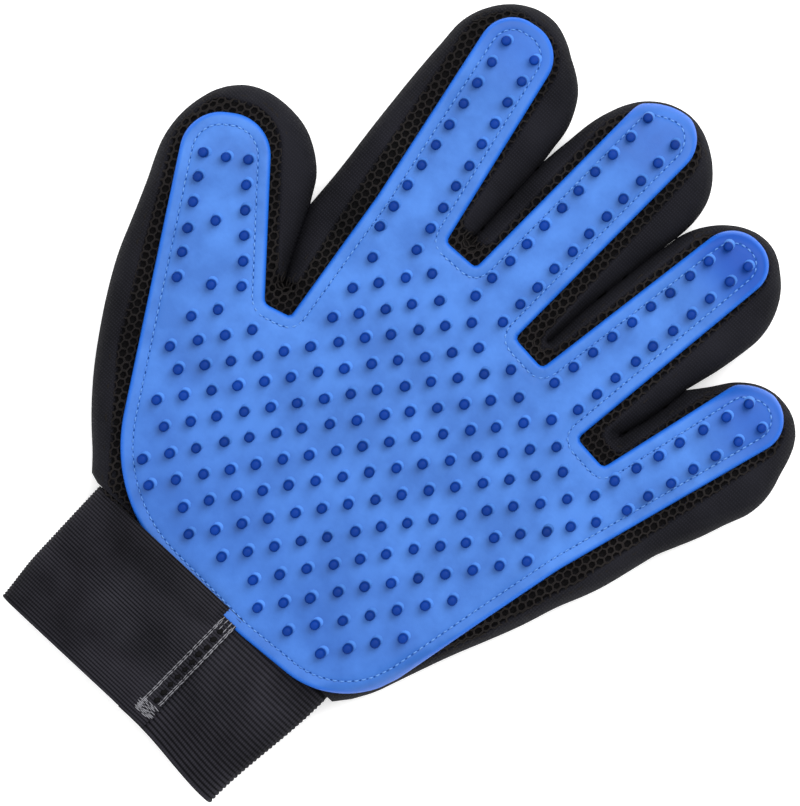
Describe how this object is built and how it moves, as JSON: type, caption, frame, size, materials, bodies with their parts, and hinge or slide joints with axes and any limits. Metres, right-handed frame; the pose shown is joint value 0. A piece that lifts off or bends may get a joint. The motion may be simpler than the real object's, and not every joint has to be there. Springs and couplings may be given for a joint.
{
  "type": "grooming glove",
  "caption": "Five-finger pet grooming glove with a nubbed rubber palm, mesh and knit fabric, and an elastic cuff closed by a peel-open strap.",
  "frame": {"origin": "centre of the glove's outline on the surface that its back lies on", "axes": "+Y from the wrist to the fingertips, +X from the thumb to the little finger, +Z out of the palm through the rubber nubs"},
  "size_m": [0.1941, 0.2328, 0.0253],
  "materials": {
    "rubber": "matte moulded rubber",
    "spacer_mesh": "open spacer mesh",
    "knit": "fine smooth knit",
    "elastic": "ribbed woven elastic",
    "thread": "grey-white sewing thread",
    "tape": "woven seam tape",
    "hook": "hook fastener",
    "loop": "brushed loop fastener"
  },
  "bodies": {
    "palm": {"palm_knit_shell": "knit", "palm_mesh_panel": "spacer_mesh", "palm_rubber_pad": "rubber", "wrist_seam_tape": "tape", "cuff_elastic_left": "elastic", "cuff_elastic_right": "elastic", "cuff_join_seam": "thread", "loop_patch": "loop"},
    "thumb_root": {"thumb_root_knit_shell": "knit", "thumb_root_mesh_panel": "spacer_mesh", "thumb_root_rubber_pad": "rubber"},
    "thumb_tip": {"thumb_tip_knit_shell": "knit", "thumb_tip_mesh_panel": "spacer_mesh", "thumb_tip_rubber_pad": "rubber"},
    "index_root": {"index_root_knit_shell": "knit", "index_root_mesh_panel": "spacer_mesh", "index_root_rubber_pad": "rubber"},
    "index_tip": {"index_tip_knit_shell": "knit", "index_tip_mesh_panel": "spacer_mesh", "index_tip_rubber_pad": "rubber"},
    "middle_root": {"middle_root_knit_shell": "knit", "middle_root_mesh_panel": "spacer_mesh", "middle_root_rubber_pad": "rubber"},
    "middle_tip": {"middle_tip_knit_shell": "knit", "middle_tip_mesh_panel": "spacer_mesh", "middle_tip_rubber_pad": "rubber"},
    "ring_root": {"ring_root_knit_shell": "knit", "ring_root_mesh_panel": "spacer_mesh", "ring_root_rubber_pad": "rubber"},
    "ring_tip": {"ring_tip_knit_shell": "knit", "ring_tip_mesh_panel": "spacer_mesh", "ring_tip_rubber_pad": "rubber"},
    "little_root": {"little_root_knit_shell": "knit", "little_root_mesh_panel": "spacer_mesh", "little_root_rubber_pad": "rubber"},
    "little_tip": {"little_tip_knit_shell": "knit", "little_tip_mesh_panel": "spacer_mesh", "little_tip_rubber_pad": "rubber"},
    "strap": {"strap_tab": "elastic", "hook_patch": "hook"}
  },
  "joints": [
    {"name": "thumb_knuckle_bend", "type": "hinge", "parent": "palm", "child": "thumb_root", "pos_m": [-0.0645, -0.0046, 0.015], "axis": [0.8192, 0.5736, 0], "range_deg": [0, 55]},
    {"name": "thumb_middle_bend", "type": "hinge", "parent": "thumb_root", "child": "thumb_tip", "pos_m": [-0.07827, 0.01506, 0.015], "axis": [0.8192, 0.5736, 0], "range_deg": [0, 55]},
    {"name": "index_knuckle_bend", "type": "hinge", "parent": "palm", "child": "index_root", "pos_m": [-0.0345, 0.0503, 0.015], "axis": [0.9848, 0.1736, 0], "range_deg": [0, 55]},
    {"name": "index_middle_bend", "type": "hinge", "parent": "index_root", "child": "index_tip", "pos_m": [-0.03971, 0.07984, 0.015], "axis": [0.9848, 0.1736, 0], "range_deg": [0, 55]},
    {"name": "middle_knuckle_bend", "type": "hinge", "parent": "palm", "child": "middle_root", "pos_m": [0.005, 0.05, 0.015], "axis": [0.9996, -0.0297, 0], "range_deg": [0, 55]},
    {"name": "middle_middle_bend", "type": "hinge", "parent": "middle_root", "child": "middle_tip", "pos_m": [0.00598, 0.08299, 0.015], "axis": [0.9996, -0.0297, 0], "range_deg": [0, 55]},
    {"name": "ring_knuckle_bend", "type": "hinge", "parent": "palm", "child": "ring_root", "pos_m": [0.0385, 0.044, 0.015], "axis": [0.9903, -0.1392, 0], "range_deg": [0, 55]},
    {"name": "ring_middle_bend", "type": "hinge", "parent": "ring_root", "child": "ring_tip", "pos_m": [0.04281, 0.0747, 0.015], "axis": [0.9903, -0.1392, 0], "range_deg": [0, 55]},
    {"name": "little_knuckle_bend", "type": "hinge", "parent": "palm", "child": "little_root", "pos_m": [0.0715, 0.035, 0.015], "axis": [0.9563, -0.2924, 0], "range_deg": [0, 55]},
    {"name": "little_middle_bend", "type": "hinge", "parent": "little_root", "child": "little_tip", "pos_m": [0.07764, 0.05508, 0.015], "axis": [0.9563, -0.2924, 0], "range_deg": [0, 55]},
    {"name": "strap_peel", "type": "hinge", "parent": "palm", "child": "strap", "pos_m": [-0.01, -0.094, 0], "axis": [0, 1, 0], "range_deg": [0, 150]}
  ]
}
